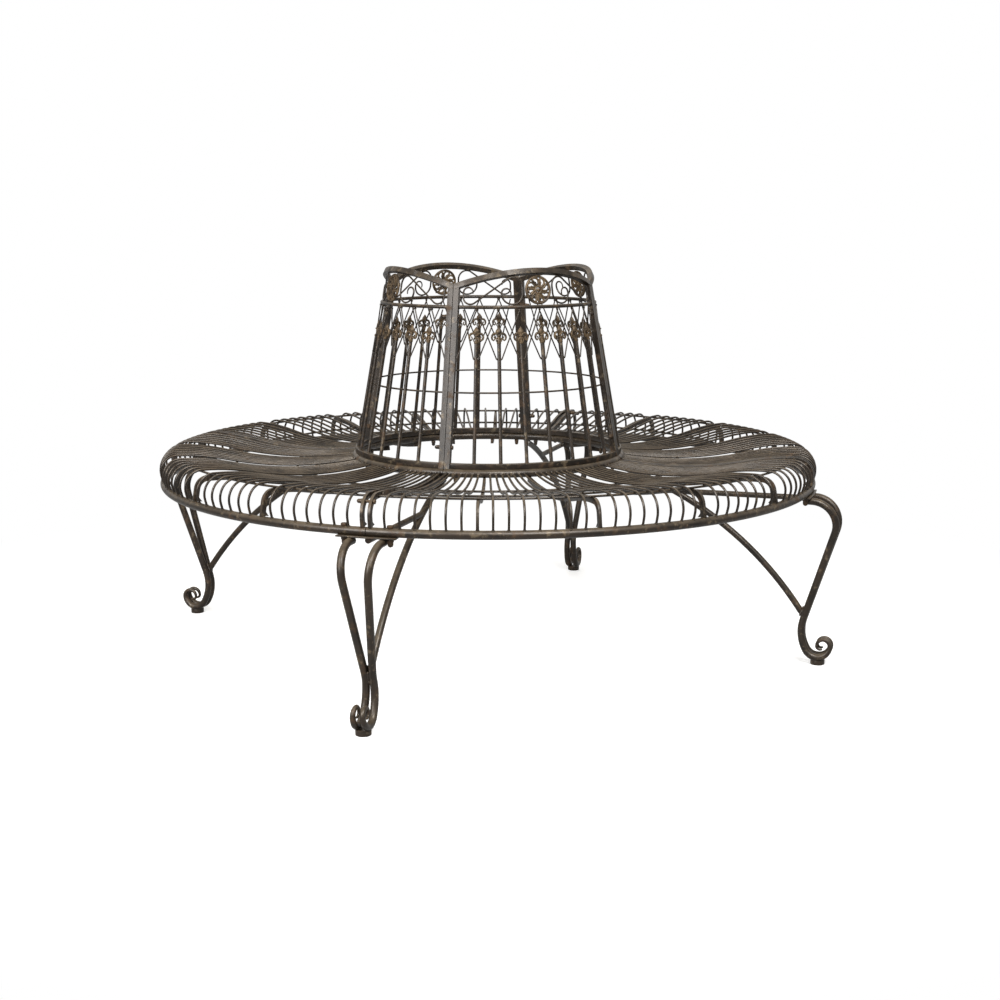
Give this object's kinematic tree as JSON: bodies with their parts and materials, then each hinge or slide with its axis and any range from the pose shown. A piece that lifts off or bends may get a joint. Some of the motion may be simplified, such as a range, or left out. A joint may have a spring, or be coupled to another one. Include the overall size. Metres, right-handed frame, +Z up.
{
  "type": "tree bench",
  "caption": "Round wrought steel garden bench that stands round a tree trunk, with a wire seat, an inward leaning ornamental back and scrolled legs.",
  "frame": {"origin": "on the ground, in the middle of the tree opening", "axes": "+Z up; the four legs and the joints between the quarters lie on the X and Y axes"},
  "size_m": [1.6556, 1.6556, 0.8911],
  "materials": {
    "tube": "dark antique bronze paint, satin, with light rust mottling",
    "wire": "dark antique bronze paint, satin",
    "casting": "antique bronze paint rubbed to a golden brown on raised edges",
    "fastener": "painted steel bolts and domed cap nuts"
  },
  "bodies": {
    "root": {"seat_rim_1": "tube", "seat_rim_2": "tube", "seat_rim_3": "tube", "seat_rim_4": "tube", "seat_inner_rail_1": "tube", "seat_inner_rail_2": "tube", "seat_inner_rail_3": "tube", "seat_inner_rail_4": "tube", "seat_end_ribs_1": "wire", "seat_end_ribs_2": "wire", "seat_end_ribs_3": "wire", "seat_end_ribs_4": "wire", "seat_ribs_1": "wire", "seat_ribs_2": "wire", "seat_ribs_3": "wire", "seat_ribs_4": "wire", "seat_wires_1": "wire", "seat_wires_2": "wire", "seat_wires_3": "wire", "seat_wires_4": "wire", "seat_hoops_1": "wire", "seat_hoops_2": "wire", "seat_hoops_3": "wire", "seat_hoops_4": "wire", "back_frame_1": "tube", "back_frame_2": "tube", "back_frame_3": "tube", "back_frame_4": "tube", "back_rails_1": "tube", "back_rails_2": "tube", "back_rails_3": "tube", "back_rails_4": "tube", "back_pickets_1": "wire", "back_pickets_2": "wire", "back_pickets_3": "wire", "back_pickets_4": "wire", "back_lattice_1": "wire", "back_lattice_2": "wire", "back_lattice_3": "wire", "back_lattice_4": "wire", "back_scrolls_1": "wire", "back_scrolls_2": "wire", "back_scrolls_3": "wire", "back_scrolls_4": "wire", "leg_bars_1": "tube", "leg_bars_2": "tube", "leg_bars_3": "tube", "leg_bars_4": "tube", "leg_braces": "tube", "leg_struts": "tube", "rim_plates": "tube", "foot_pads": "tube", "finials": "casting", "medallions": "casting", "rim_bolts": "fastener", "rail_studs": "fastener", "rib_bolts": "fastener", "post_bolts": "fastener", "cap_nuts": "fastener"}
  },
  "joints": []
}
